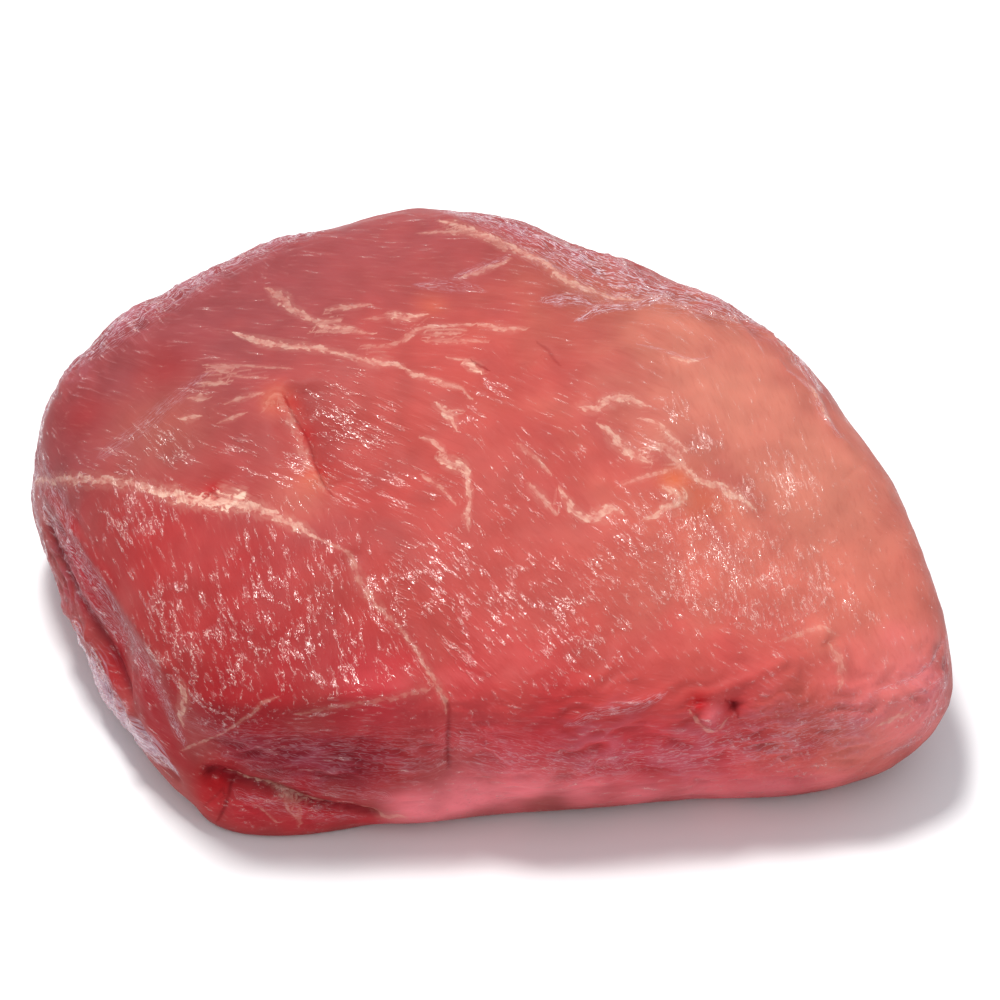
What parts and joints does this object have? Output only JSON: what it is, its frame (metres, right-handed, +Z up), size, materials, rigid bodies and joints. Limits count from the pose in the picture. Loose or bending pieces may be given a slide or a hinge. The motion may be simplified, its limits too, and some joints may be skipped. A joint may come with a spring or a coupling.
{
  "type": "raw pork topside",
  "caption": "Raw boneless pork topside: a thick wedge of trimmed leg muscle with thin streaks of fat, a grained wet top, a cut front face and a loose flap, lying on its flat side.",
  "frame": {"origin": "centre of the piece's box, on the surface that it lies on", "axes": "+Z up from the flat underside, +X along the length towards the thin end, +Y from the cut front face towards the high back"},
  "size_m": [0.243, 0.1862, 0.084],
  "materials": {
    "raw_pork": "wet, glossy raw muscle with streaks of cream fat and patches of silvery film"
  },
  "bodies": {
    "root": {"topside": "raw_pork"}
  },
  "joints": []
}
